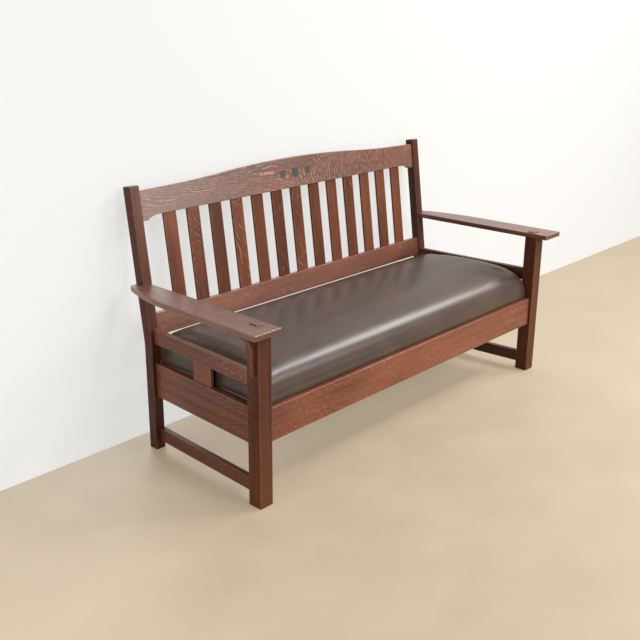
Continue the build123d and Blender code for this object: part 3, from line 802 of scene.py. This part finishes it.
@dataclass
class SeatCushion:
    """The crowned seat: leather drawn tight over its filling and rolled down all round."""

    leather: Material
    crown: float = 134 * MM             # over the underside of the filling
    crown_share: float = 0.40           # of the depth, from the front
    front_face: float = 38 * MM         # heights of its faces
    rear_face: float = 75 * MM
    end_drop: float = 0.26              # of the height, at the very ends
    end_reach: float = 95 * MM
    fullness: float = 2.7               # of the rolls: 2 is an ellipse, more is squarer
    ripple: float = 2.4 * MM            # soft folds that run in from the ends
    ripple_reach: float = 260 * MM
    ripple_run: tuple[float, float] = (2.2, 19.0)   # folds in a metre along it and across it
    ripple_seeds: tuple[float, float] = (3.7, 8.1)  # of its right and left half
    start_inset: float = 2 * MM         # of the form before it is blown up
    voxel: float = 8 * MM
    pressure: float = 4.0
    frames: int = 20
    cap: float = 3 * MM                 # most that a point may move
    held_height: float = 45 * MM        # over its base, where tacks hold the leather
    square_height: float = 60 * MM      # of its straight rear corners
    square_reach: float = 15 * MM
    facing_share: float = 0.25          # of a normal that points to a face, at least
    rear_bulge: float = 4 * MM
    clearance: float = 0.4 * MM         # to the posts and rails
    smoothing: int = 6                  # passes, to even out the form's facets
    grid: tuple[int, int] = (120, 112)

    def __post_init__(self) -> None:
        """Reads the seat's place from the frame."""
        skin = [vertex.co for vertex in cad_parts["seat_leather"].data.vertices]
        low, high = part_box("seat_leather")
        self.front, self.rear = low.y, high.y
        self.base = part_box("seat_padding")[0].z
        self.frame_front = min(place.y for place in skin if place.z < low.z + MM)
        self.half_front = high.x
        self.half_rear = max(place.x for place in skin if place.y > high.y - MM)

    def half_length(self, y: float) -> float:
        """Half the seat's length at one depth."""
        share = max(y - self.frame_front, 0.0) / (self.rear - self.frame_front)
        return self.half_front + (self.half_rear - self.half_front) * min(share, 1.0)

    def roll(self, distance: float, reach: float) -> float:
        """How far a roll has risen, from 0 to 1, at a distance from its foot."""
        left = 1.0 - min(max(distance / reach, 0.0), 1.0)
        return (1.0 - left ** self.fullness) ** (1.0 / self.fullness)

    def height(self, x: float, y: float, front: float, rear: float, half: float) -> float:
        """How high the seat stands over its base at one place.

        Args:
            x: place along the settle.
            y: place from front to back.
            front: where its front face stands.
            rear: where its rear face stands.
            half: half its length at that depth.

        Returns:
            The height.
        """
        crown_y = front + (rear - front) * self.crown_share
        if y < crown_y:
            face, risen = self.front_face, self.roll(y - front, crown_y - front)
        else:
            face, risen = self.rear_face, self.roll(rear - y, rear - crown_y)
        rise = face + (self.crown - face) * risen
        return rise * (1.0 - self.end_drop * (1.0 - self.roll(half - abs(x), self.end_reach)))

    def form(self, inset: float) -> Shape:
        """The closed form of the seat, drawn in by an inset.

        Args:
            inset: how far inside the seat's own faces it stays.

        Returns:
            The form.
        """
        shape = bmesh.new()
        bmesh.ops.create_grid(shape, x_segments=self.grid[0], y_segments=self.grid[1], size=0.5)
        front, rear = self.front + inset, self.rear + self.rear_bulge - inset
        for vertex in shape.verts:
            y = front + (rear - front) * (1.0 - math.cos(math.pi * (vertex.co.y + 0.5))) / 2.0
            half = self.half_length(y) - inset
            x = half * math.sin(math.pi * vertex.co.x)
            vertex.co = (x, y, self.base + self.height(x, y, front, rear, half) - inset)
        foot = extruded(shape, [edge for edge in shape.edges if edge.is_boundary])
        for vertex in foot:
            vertex.co.z = self.base
        rim = [edge for edge in shape.edges if edge.is_boundary]
        bmesh.ops.contextual_create(shape, geom=foot + rim)
        bmesh.ops.triangulate(shape, faces=[face for face in shape.faces if len(face.verts) > 4])
        return shape

    def swell(self, piece: Piece) -> None:
        """Blows the form up by cloth pressure, keeps its foot, and caps how far it moves.

        Args:
            piece: the cushion.
        """
        rest = [vertex.co.copy() for vertex in piece.data.vertices]
        held = piece.vertex_groups.new(name="underside")
        top = self.base + self.held_height
        low = [number for number, place in enumerate(rest) if place.z < top]
        held.add(low, 1.0, "REPLACE")
        cloth = piece.modifiers.new("swelling", "CLOTH")
        cloth.settings.use_pressure = True
        cloth.settings.uniform_pressure_force = self.pressure
        cloth.settings.vertex_group_mass = held.name
        cloth.settings.effector_weights.gravity = 0.0
        cloth.point_cache.frame_start = 1
        cloth.point_cache.frame_end = self.frames
        scene = bpy.context.scene
        for number in range(1, self.frames + 1):
            scene.frame_set(number)
        evaluated = piece.evaluated_get(bpy.context.evaluated_depsgraph_get())
        swollen = bpy.data.meshes.new_from_object(evaluated)
        for vertex, start, moved in zip(piece.data.vertices, rest, swollen.vertices):
            step = moved.co - start
            vertex.co = start + step * min(1.0, self.cap / max(step.length, MM * MM))
        bpy.data.meshes.remove(swollen)
        piece.modifiers.clear()
        piece.vertex_groups.clear()
        scene.frame_set(1)

    def even(self, piece: Piece) -> None:
        """Evens out the facets of the rolls, above the seat's straight faces.

        Args:
            piece: the cushion.
        """
        rolled = piece.vertex_groups.new(name="roll")
        rolled.add([vertex.index for vertex in piece.data.vertices
                    if vertex.co.z > self.base + self.front_face], 1.0, "REPLACE")
        worked(piece, "even curve", "SMOOTH", iterations=self.smoothing,
               vertex_group=rolled.name)
        piece.vertex_groups.clear()

    def fold(self, piece: Piece) -> None:
        """Adds the soft folds that run along the top of the seat from its ends.

        Args:
            piece: the cushion.
        """
        along, across = self.ripple_run
        right, left = self.ripple_seeds
        for vertex in piece.data.vertices:
            place = vertex.co
            rise = place.z - self.base - self.front_face
            if rise <= 0.0:
                continue
            from_end = self.half_length(place.y) - abs(place.x)
            near = min(max(from_end / self.end_reach, 0.0), 1.0) ** 2
            fading = math.exp(-from_end / self.ripple_reach)
            share = near * fading * min(rise / self.front_face, 1.0)
            seed = right if place.x > 0 else left
            wave = noise.noise(Vector((place.x * along, place.y * across, seed)))
            place.z += self.ripple * share * wave

    def settle(self, piece: Piece) -> None:
        """Presses the seat back to what holds it, and squares its lower edges.

        Args:
            piece: the cushion.
        """
        rear, reach = self.rear + self.rear_bulge, self.square_reach
        normals = [vertex.normal.copy() for vertex in piece.data.vertices]
        for vertex, facing in zip(piece.data.vertices, normals):
            place = vertex.co
            rise = place.z - self.base
            low, upright = rise < reach, rise < self.square_height
            half = self.half_length(place.y) - self.clearance
            at_rear = rear - place.y < reach and facing.y > self.facing_share
            if (upright and at_rear) or place.y > rear:
                place.y = rear
            at_front = place.y - self.front < reach and facing.y < -self.facing_share
            if (low and at_front) or place.y < self.front:
                place.y = self.front
            at_end = abs(facing.x) > self.facing_share and half - abs(place.x) < reach
            if at_end and not low and rise < self.held_height:
                inward = self.start_inset * (rise - reach) / (self.held_height - reach)
                place.x = math.copysign(max(abs(place.x), half - inward), place.x)
            at_corner = upright and place.y > self.rear - reach
            if (at_end and (low or at_corner)) or abs(place.x) > half:
                place.x = math.copysign(half, place.x)
            place.z = max(place.z, self.base)

    def build(self) -> Piece:
        """Forms, swells and finishes the seat.

        Returns:
            The cushion.
        """
        inset = self.start_inset
        cushion = piece_from(self.form(inset), "seat_cushion", self.leather)
        worked(cushion, "even skin", "REMESH", mode="VOXEL", voxel_size=self.voxel,
               use_smooth_shade=True)
        self.swell(cushion)
        self.even(cushion)
        self.fold(cushion)
        self.settle(cushion)
        worked(cushion, "finer skin", "SUBSURF", levels=1, render_levels=1)
        self.settle(cushion)
        cushion.data.shade_smooth()
        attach(cushion, "seat")
        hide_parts("seat_leather", "seat_padding")
        LOG.info("seat cushion: %d faces", len(cushion.data.polygons))
        return cushion


@dataclass
class Heads:
    """Small heads of tacks and screws, gathered in one piece."""

    shape: Shape = field(default_factory=bmesh.new)
    dome: tuple[tuple[float, float], ...] = ((0.55, 0.86), (0.35, 0.6), (0.1, 0.3))
    tack_sides: int = 12
    screw_sides: int = 20
    slot_depth: float = 0.7             # of its width

    def settled(self, fresh: list[Corner], place: Vector, facing: Vector) -> None:
        """Turns new vertices from upright to a direction and moves them to their place."""
        turn = facing.to_track_quat("Z", "Y").to_matrix().to_4x4()
        bmesh.ops.transform(self.shape, matrix=Matrix.Translation(place) @ turn, verts=fresh)

    def fresh(self, before: set[Corner]) -> list[Corner]:
        """The vertices that weren't there before."""
        return [vertex for vertex in self.shape.verts if vertex not in before]

    def raised(self, rim: list[Face], by: float, scale: float) -> list[Face]:
        """Extrudes a head's faces upwards and narrows them.

        Args:
            rim: the faces to raise.
            by: how far.
            scale: of the new faces to the old ones.

        Returns:
            The new top faces.
        """
        grown = bmesh.ops.extrude_face_region(self.shape, geom=rim)["geom"]
        bmesh.ops.delete(self.shape, geom=rim, context="FACES_ONLY")
        corners = [item for item in grown if isinstance(item, Corner)]
        bmesh.ops.scale(self.shape, vec=(scale, scale, 1.0), verts=corners)
        bmesh.ops.translate(self.shape, vec=(0.0, 0.0, by), verts=corners)
        return [item for item in grown if isinstance(item, Face)]

    def tack(self, place: Vector, facing: Vector, radius: float = 3.2 * MM,
             height: float = 1.1 * MM) -> None:
        """Adds a domed tack head.

        Args:
            place: the middle of its underside.
            facing: where its top faces.
            radius: of its rim.
            height: of its dome.
        """
        before = set(self.shape.verts)
        bmesh.ops.create_circle(self.shape, cap_ends=True, segments=self.tack_sides,
                                radius=radius)
        top = [face for face in self.shape.faces if not before.intersection(face.verts)]
        for rise, scale in self.dome:
            top = self.raised(top, height * rise, scale)
        self.settled(self.fresh(before), place, facing)

    def screw(self, place: Vector, facing: Vector, radius: float = 4.2 * MM,
              slot: float = 1.1 * MM) -> None:
        """Adds a flat slotted screw head.

        Args:
            place: the middle of its flat.
            facing: where its flat faces.
            radius: of its rim.
            slot: width of its slot.
        """
        before = set(self.shape.verts)
        bmesh.ops.create_circle(self.shape, cap_ends=True, segments=self.screw_sides,
                                radius=radius)
        for side in (-0.5, 0.5):
            geom = self.fresh(before) + [item for item in (*self.shape.edges, *self.shape.faces)
                                         if not before.intersection(item.verts)]
            bmesh.ops.bisect_plane(self.shape, geom=geom, plane_co=(side * slot, 0.0, 0.0),
                                   plane_no=(1.0, 0.0, 0.0))
        groove = [face for face in self.shape.faces if not before.intersection(face.verts)
                  and abs(face.calc_center_median().x) < slot / 2]
        self.raised(groove, -slot * self.slot_depth, 1.0)
        self.settled(self.fresh(before), place, facing)

    def piece(self, name: str, metal: Material, body: str) -> Piece:
        """Makes the gathered heads a piece that rides on a body.

        Args:
            name: the piece's name.
            metal: its finish.
            body: what it rides on.

        Returns:
            The piece.
        """
        made = piece_from(self.shape, name, metal, smooth=False)
        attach(made, body)
        LOG.info("%s: %d faces", name, len(made.data.polygons))
        return made


def plan(wide: float, narrow: float, front: float, rear: float) -> list[Vector]:
    """The corners of a plan that narrows to the back, anticlockwise from the front left."""
    return [Vector((-wide, front, 0)), Vector((wide, front, 0)), Vector((narrow, rear, 0)),
            Vector((-narrow, rear, 0))]


def sides(corners: list[Vector]) -> list[tuple[Vector, Vector]]:
    """The start and end of each side of a plan."""
    return list(zip(corners, corners[1:] + corners[:1]))


@dataclass
class SeatFrameCover:
    """What covers the seat's frame: the leather's skirt, webbing, dust cover and tacks."""

    cushion: SeatCushion
    leather: Material
    jute: Material
    cambric: Material
    steel: Material
    leather_thickness: float = 1.2 * MM
    skirt_inset: float = 0.5 * MM
    skirt_corner: float = 4 * MM
    tuck: float = 4 * MM                # of the skirt up into the cushion
    web_sag: float = 5 * MM
    web_thickness: float = 1.8 * MM
    web_ply: float = 0.4                # of that thickness, in one layer of jute
    web_fold: float = 22 * MM           # of each end, turned back under its tacks
    web_grid: tuple[int, int] = (4, 30)
    web_tacks: tuple[float, ...] = (0.2, 0.5, 0.8)  # places across a strap
    web_tack_radius: float = 2.8 * MM
    web_tack_height: float = 0.5 * MM
    cover_sag: float = 6 * MM
    cover_thickness: float = 0.6 * MM
    cover_grid: tuple[int, int] = (120, 36)
    hem: float = 14 * MM
    hem_gap: float = 0.6                # of the cover's thickness, up to its turned hem
    pucker: float = 1.0 * MM            # between the cover's tacks
    pucker_reach: float = 3.0           # in hems
    tack_pitch: float = 62 * MM
    tack_inset: float = 7 * MM

    def outline(self, inset: float) -> list[Vector]:
        """The corners of the seat's plan, drawn in by an inset.

        Args:
            inset: how far.

        Returns:
            The corners.
        """
        seat = self.cushion
        front, rear = seat.frame_front + inset, seat.rear - inset
        return plan(seat.half_length(front) - inset, seat.half_length(rear) - inset, front, rear)

    def skirt(self) -> Piece:
        """The band of leather drawn down over the seat's frame.

        Returns:
            The band.
        """
        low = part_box("seat_leather")[0].z
        around = self.outline(self.skirt_inset)
        shape = bmesh.new()
        corners = [shape.verts.new(corner + Vector((0, 0, low))) for corner in around]
        edges = [shape.edges.new((corners[place - 1], corners[place])) for place in range(4)]
        rise = self.cushion.base + self.tuck - low
        bmesh.ops.translate(shape, vec=(0, 0, rise), verts=extruded(shape, edges))
        upright = [edge for edge in shape.edges
                   if abs(edge.verts[0].co.z - edge.verts[1].co.z) > MM]
        bmesh.ops.bevel(shape, geom=upright, offset=self.skirt_corner, offset_type="OFFSET",
                        affect="EDGES", segments=3, profile=0.5, material=-1)
        bmesh.ops.recalc_face_normals(shape, faces=shape.faces)
        if min(shape.faces, key=lambda face: face.calc_center_median().y).normal.y > 0:
            bmesh.ops.reverse_faces(shape, faces=shape.faces)
        bmesh.ops.solidify(shape, geom=shape.faces, thickness=self.leather_thickness)
        made = piece_from(shape, "leather_skirt", self.leather)
        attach(made, "seat")
        LOG.info("leather skirt: %d faces", len(made.data.polygons))
        return made

    def strap_places(self) -> list[tuple[Vector, Vector]]:
        """Where the straps of the frame's webbing lie.

        Returns:
            The lowest and highest corner of each.
        """
        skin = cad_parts["seat_webbing"].data.vertices
        borders = sorted({round(vertex.co.x, 4) for vertex in skin})
        low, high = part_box("seat_webbing")
        return [(Vector((left, low.y, low.z)), Vector((right, high.y, high.z)))
                for left, right in zip(borders[::2], borders[1::2])]

    def strap(self, shape: Shape, nails: Heads, low: Vector, high: Vector) -> None:
        """Adds one strap with its ends turned back under tacks.

        Args:
            shape: what the strap is added to.
            nails: the heads, to which its tacks are added.
            low: its lowest corner.
            high: its highest corner.
        """
        inner_front, inner_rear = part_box("seat_frame_front")[1].y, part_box("seat_frame_rear")[0].y
        before = set(shape.verts)
        bmesh.ops.create_grid(shape, x_segments=self.web_grid[0], y_segments=self.web_grid[1],
                              size=0.5)
        for vertex in [vertex for vertex in shape.verts if vertex not in before]:
            x = low.x + (high.x - low.x) * (vertex.co.x + 0.5)
            y = low.y + (high.y - low.y) * (vertex.co.y + 0.5)
            share = (y - inner_front) / (inner_rear - inner_front)
            sag = self.web_sag * math.sin(math.pi * share) if 0.0 < share < 1.0 else 0.0
            vertex.co = (x, y, low.z + self.web_thickness / 2 - sag)
        lift = Vector((0, 0, self.web_thickness * self.web_ply))
        for end, into in ((low.y, 1.0), (high.y, -1.0)):
            rim = [edge for edge in shape.edges
                   if all(abs(v.co.y - end) < MM / 2 and v not in before for v in edge.verts)]
            for shift in (lift, Vector((0, into * self.web_fold, 0))):
                moved = extruded(shape, rim)
                bmesh.ops.translate(shape, vec=shift, verts=moved)
                rim = [edge for edge in shape.edges if all(v in moved for v in edge.verts)]
            for part in self.web_tacks:
                place = Vector((low.x + (high.x - low.x) * part, end + into * self.tack_inset,
                                low.z + self.web_thickness))
                nails.tack(place, UP, self.web_tack_radius, self.web_tack_height)

    def webbing(self) -> Piece:
        """Jute straps over the seat's frame, each with its ends turned back.

        Returns:
            The straps as one piece.
        """
        shape, nails, straps = bmesh.new(), Heads(), self.strap_places()
        for low, high in straps:
            self.strap(shape, nails, low, high)
        made = piece_from(shape, "seat_straps", self.jute)
        worked(made, "thickness", "SOLIDIFY", thickness=self.web_thickness * self.web_ply,
               offset=0.0)
        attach(made, "seat")
        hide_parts("seat_webbing")
        tacks = nails.piece("strap_tacks", self.steel, "seat")
        LOG.info("webbing: %d straps", len(straps))
        return made

    def turn_hem(self, shape: Shape, narrow: float, front: float, rear: float) -> None:
        """Turns the dust cover's edge in.

        Args:
            shape: the cover.
            narrow: half its length at the back.
            front: where its front edge lies.
            rear: where its rear edge lies.
        """
        lift = Vector((0.0, 0.0, self.cover_thickness * self.hem_gap))
        for vertex in extruded(shape, [edge for edge in shape.edges if edge.is_boundary]):
            place = vertex.co
            at_end = abs(place.x) > narrow - MM
            at_side = min(place.y - front, rear - place.y) < MM
            x = -math.copysign(self.hem, place.x) if at_end else 0.0
            y = math.copysign(self.hem, (front + rear) / 2 - place.y) if at_side else 0.0
            vertex.co += Vector((x, y, 0.0)) + lift

    def tack_round(self, nails: Heads, corners: list[Vector], height: float) -> None:
        """Adds evenly spaced tacks inside the sides of a plan, facing down.

        Args:
            nails: the heads to which they are added.
            corners: the plan's corners.
            height: where they sit.
        """
        middle = Vector((0.0, (corners[0].y + corners[2].y) / 2, 0.0))
        for start, end in sides(corners):
            inside = middle - (start + end) / 2
            inside = inside - inside.project(end - start)
            step = inside.normalized() * self.tack_inset
            count = round((end - start).length / self.tack_pitch)
            for number in range(count):
                place = start.lerp(end, (number + 0.5) / count) + step
                nails.tack(place + Vector((0, 0, height)), DOWN)

    def dust_cover(self) -> Piece:
        """Black cambric under the seat, hemmed and tacked round its edge.

        Returns:
            The cover.
        """
        low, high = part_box("seat_dust_cover")
        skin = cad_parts["seat_dust_cover"].data.vertices
        narrow = max(vertex.co.x for vertex in skin if vertex.co.y > high.y - MM)
        wide, depth = high.x, high.y - low.y
        shape, nails = bmesh.new(), Heads()
        bmesh.ops.create_grid(shape, x_segments=self.cover_grid[0],
                              y_segments=self.cover_grid[1], size=0.5)
        top = high.z - self.cover_thickness
        for vertex in shape.verts:
            across, back = vertex.co.x * 2.0, vertex.co.y + 0.5
            half = wide + (narrow - wide) * back
            edge = min((1.0 - abs(across)) * half, back * depth, (1.0 - back) * depth)
            free = min(edge / self.hem, 1.0)
            sag = self.cover_sag * math.cos(across * math.pi / 2) * math.sin(back * math.pi)
            reach = math.exp(-edge / (self.pucker_reach * self.hem)) * free
            wave = math.cos(across * half * math.tau / self.tack_pitch) - 1.0
            vertex.co = (across * half, low.y + depth * back,
                         top - sag * free + self.pucker * reach * wave / 2)
        self.turn_hem(shape, narrow, low.y, high.y)
        made = piece_from(shape, "dust_cover", self.cambric)
        self.tack_round(nails, plan(wide, narrow, low.y, high.y),
                        low.z - self.cover_thickness / 2)
        tacks = nails.piece("cover_tacks", self.steel, "seat")
        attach(made, "seat")
        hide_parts("seat_dust_cover")
        LOG.info("dust cover: %d faces", len(made.data.polygons))
        return made

    def build(self) -> None:
        """Covers the seat's frame."""
        self.skirt()
        self.webbing()
        self.dust_cover()


@dataclass
class CleatScrews:
    """The screws that hold the cleats to the seat rails."""

    steel: Material
    proud: float = 0.15 * MM
    long_shares: tuple[float, ...] = (-0.94, -0.56, -0.19, 0.19, 0.56, 0.94)
    short_shares: tuple[float, ...] = (-0.8, 0.0, 0.8)

    def build(self) -> Piece:
        """Sets the screws in the inner faces of the four cleats.

        Returns:
            The screws as one piece.
        """
        heads = Heads()
        for node, side in (("seat_cleat_front", 1.0), ("seat_cleat_rear", -1.0)):
            low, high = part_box(node)
            y = (high.y if side > 0 else low.y) + side * self.proud
            for share in self.long_shares:
                heads.screw(Vector((high.x * share, y, (low.z + high.z) / 2)),
                            Vector((0, side, 0)))
        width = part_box("seat_cleat_front")[1].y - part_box("seat_cleat_front")[0].y
        low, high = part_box("seat_cleat_right")
        for share in self.short_shares:
            y = (low.y + high.y) / 2 + (high.y - low.y) / 2 * share
            x = high.x - (y - low.y) * math.tan(SPLAY) - width / math.cos(SPLAY) - self.proud
            for side in (-1.0, 1.0):
                facing = Vector((-side * math.cos(SPLAY), -math.sin(SPLAY), 0.0))
                heads.screw(Vector((side * x, y, (low.z + high.z) / 2)), facing)
        return heads.piece("cleat_screws", self.steel, "frame")


@dataclass(frozen=True)
class Lamp:
    """A soft rectangular lamp.

    Attributes:
        name: the lamp's name.
        place: where it stands.
        size: its width and height.
        power: its power in watts.
        colour: its colour.
    """

    name: str
    place: tuple[float, float, float]
    size: tuple[float, float]
    power: float
    colour: Colour = (1.0, 1.0, 1.0)

    def hang(self, aim: tuple[float, float, float]) -> None:
        """Hangs the lamp.

        Args:
            aim: what it faces.
        """
        light = bpy.data.lights.new(self.name, "AREA")
        light.shape = "RECTANGLE"
        light.size, light.size_y = self.size
        light.energy = self.power
        light.color = self.colour
        made = linked(self.name, light)
        made.location = self.place
        ahead = Vector(aim) - Vector(self.place)
        made.rotation_euler = ahead.to_track_quat("-Z", "Y").to_euler()


@dataclass
class Studio:
    """Pale floor and backdrop, soft lamps and the camera."""

    lamps: tuple[Lamp, ...] = (
        Lamp("window", (3.6, -1.5, 3.6), (1.8, 1.2), 140.0, (1.0, 0.98, 0.95)),
        Lamp("front high", (0.0, -4.4, 3.4), (1.8, 1.4), 140.0),
        Lamp("front softbox", (1.9, -3.3, 1.3), (0.9, 1.4), 36.0),
        Lamp("glint", (1.9, -2.1, 3.5), (0.5, 0.5), 60.0),
        Lamp("left fill", (-2.3, -0.35, 0.9), (1.0, 1.0), 12.0),
        Lamp("back fill", (1.4, 3.8, 2.0), (2.2, 1.6), 70.0),
    )
    aim: tuple[float, float, float] = (0.0, 0.0, 0.4)   # of the lamps
    wall_y: float = 0.386
    floor_size: float = 14.0
    floor_dark: Colour = (0.500, 0.412, 0.288)
    floor_light: Colour = (0.590, 0.490, 0.345)
    floor_speck: Colour = (0.70, 0.62, 0.50)
    floor_lit: Colour = (0.53, 0.53, 0.53)      # share of its colour, where it is looked at
    floor_own: Colour = (0.249, 0.198, 0.138)   # what it adds there, lit or not
    wall_colour: Colour = (0.22, 0.218, 0.21)
    wall_own: Colour = (1.0, 0.995, 0.97)
    wall_glow: float = 0.63
    world_colour: Colour = (1.0, 0.99, 0.97)
    world_light: float = 0.20                   # on the object
    world_shown: float = 0.55                   # where the camera and reflections look
    camera_place: tuple[float, float, float] = (-2.6090, -2.1720, 1.5124)
    yaw: float = math.radians(47.89)
    pitch: float = math.radians(18.96)
    roll: float = math.radians(0.44)
    lens: float = 52.84
    sensor: float = 36.0

    def plane(self, name: str, matrix: Matrix, material: Material) -> Piece:
        """A staged square plane of the floor's size.

        Args:
            name: the plane's name.
            matrix: what moves it from the origin.
            material: its finish.

        Returns:
            The plane.
        """
        shape = bmesh.new()
        bmesh.ops.create_grid(shape, x_segments=1, y_segments=1, size=self.floor_size / 2)
        bmesh.ops.transform(shape, matrix=matrix, verts=shape.verts)
        made = linked(name, mesh_of(shape, name, material))
        return made

    def floor_material(self) -> Material:
        """Clouded concrete, with some of its paleness its own, so that shadows stay soft.

        Returns:
            Its material.
        """
        finish = Finish("floor")
        draw = finish.draw
        cloud = draw.ramp(draw.noise(finish.place(), (2.6, 3.4, 2.0), 6.0, 0.62), 0.3, 0.7)
        speck = draw.noise(finish.place(), (60.0, 60.0, 60.0), 3.0)
        colour = draw.blend(cloud, opaque(self.floor_dark), opaque(self.floor_light))
        colour = draw.blend(draw.ramp(speck, 0.55, 0.75, 0.0, 0.2), colour,
                            opaque(self.floor_speck))
        shown = draw.shown()
        dimmed = draw.blend(shown, opaque((1.0, 1.0, 1.0)), opaque(self.floor_lit))
        finish.shade(Base_Color=draw.blend(1.0, colour, dimmed, "MULTIPLY"),
                     Emission_Strength=shown, Emission_Color=opaque(self.floor_own),
                     Roughness=draw.ramp(cloud, 0.0, 1.0, 0.5, 0.62))
        finish.bump(speck, 0.15, 0.5 * MM)
        return finish.material

    def wall_material(self) -> Material:
        """White from the front, with some of its white its own; from behind it isn't there.

        Returns:
            Its material.
        """
        finish = Finish("backdrop")
        draw, tree = finish.draw, finish.material.node_tree
        finish.shade(Base_Color=opaque(self.wall_colour), Roughness=0.9, Specular_IOR_Level=0.1,
                     Emission_Color=opaque(self.wall_own),
                     Emission_Strength=draw.maths("MULTIPLY", draw.shown(), self.wall_glow))
        clear = draw.node("ShaderNodeBsdfTransparent", {}).outputs[0]
        behind = draw.node("ShaderNodeNewGeometry", {}).outputs["Backfacing"]
        mixed = draw.node("ShaderNodeMixShader", {
            0: behind, 1: finish.shader.outputs[0], 2: clear}).outputs[0]
        draw.feed(tree.nodes["Material Output"].inputs["Surface"], mixed)
        return finish.material

    def world(self) -> None:
        """An even light from all round, brighter where the camera and reflections look."""
        made = bpy.data.worlds.new("studio")
        made.use_nodes = True
        draw = Canvas(made.node_tree)
        background = made.node_tree.nodes["Background"].inputs
        strength = draw.ramp(draw.shown(), 0.0, 1.0, self.world_light, self.world_shown)
        draw.feed(background["Strength"], strength)
        draw.feed(background["Color"], opaque(self.world_colour))
        bpy.context.scene.world = made

    def camera(self) -> None:
        """The camera where the photograph was taken from."""
        reach = math.cos(self.pitch)
        ahead = Vector((math.sin(self.yaw) * reach, math.cos(self.yaw) * reach,
                        -math.sin(self.pitch)))
        level = Vector((math.cos(self.yaw), -math.sin(self.yaw), 0.0))
        above = level.cross(ahead)
        right = level * math.cos(self.roll) + above * math.sin(self.roll)
        turn = Matrix((right, right.cross(ahead), -ahead)).transposed().to_4x4()
        data = bpy.data.cameras.new("camera")
        data.sensor_width = self.sensor
        data.lens = self.lens
        made = linked("camera", data)
        made.matrix_world = Matrix.Translation(self.camera_place) @ turn
        bpy.context.scene.camera = made

    def build(self) -> None:
        """Sets the stage."""
        self.plane("floor", Matrix.Identity(4), self.floor_material())
        upright = Matrix.Rotation(math.radians(90), 4, "X")
        wall = self.plane("backdrop", Matrix.Translation((0, self.wall_y, self.floor_size / 2))
                          @ upright, self.wall_material())
        wall.visible_diffuse = False
        wall.visible_shadow = False
        for lamp in self.lamps:
            lamp.hang(self.aim)
        self.world()
        self.camera()
        bpy.context.scene.view_settings.view_transform = "Standard"
        LOG.info("studio set")


def main() -> None:
    """Builds the settle's looks, piece by piece, and sets the stage."""
    logging.basicConfig(level=logging.INFO, format="%(name)s: %(message)s")
    oak, weave = quartered_oak(), plain_weave()
    dark = (0.042, 0.031, 0.024)
    inlays = PlainWoodFinish(oak, (0.018, 0.013, 0.010), dark, dark, roughness=0.42, coat=0.15,
                             relief=0.3, relief_depth=0.2 * MM)
    OakFrame(OakFinish(oak, worn_and_highlit_edges()), inlays).build()
    HiddenWood(PlainWoodFinish(oak)).build()
    jute = WovenFinish(weave, "jute", (0.22, 0.15, 0.08), (0.56, 0.43, 0.26), 2.4 * MM)
    cambric = WovenFinish(weave, "cambric", (0.008, 0.008, 0.009), (0.03, 0.03, 0.032), 0.7 * MM)
    steel = MetalFinish("blued_steel", (0.20, 0.20, 0.22), (0.06, 0.055, 0.05)).material()
    leather = LeatherFinish(leather_grain()).material()
    cushion = SeatCushion(leather)
    cushion.build()
    SeatFrameCover(cushion, leather, jute.material(), cambric.material(), steel).build()
    CleatScrews(steel).build()
    Studio().build()


if __name__ == "__main__":
    main()
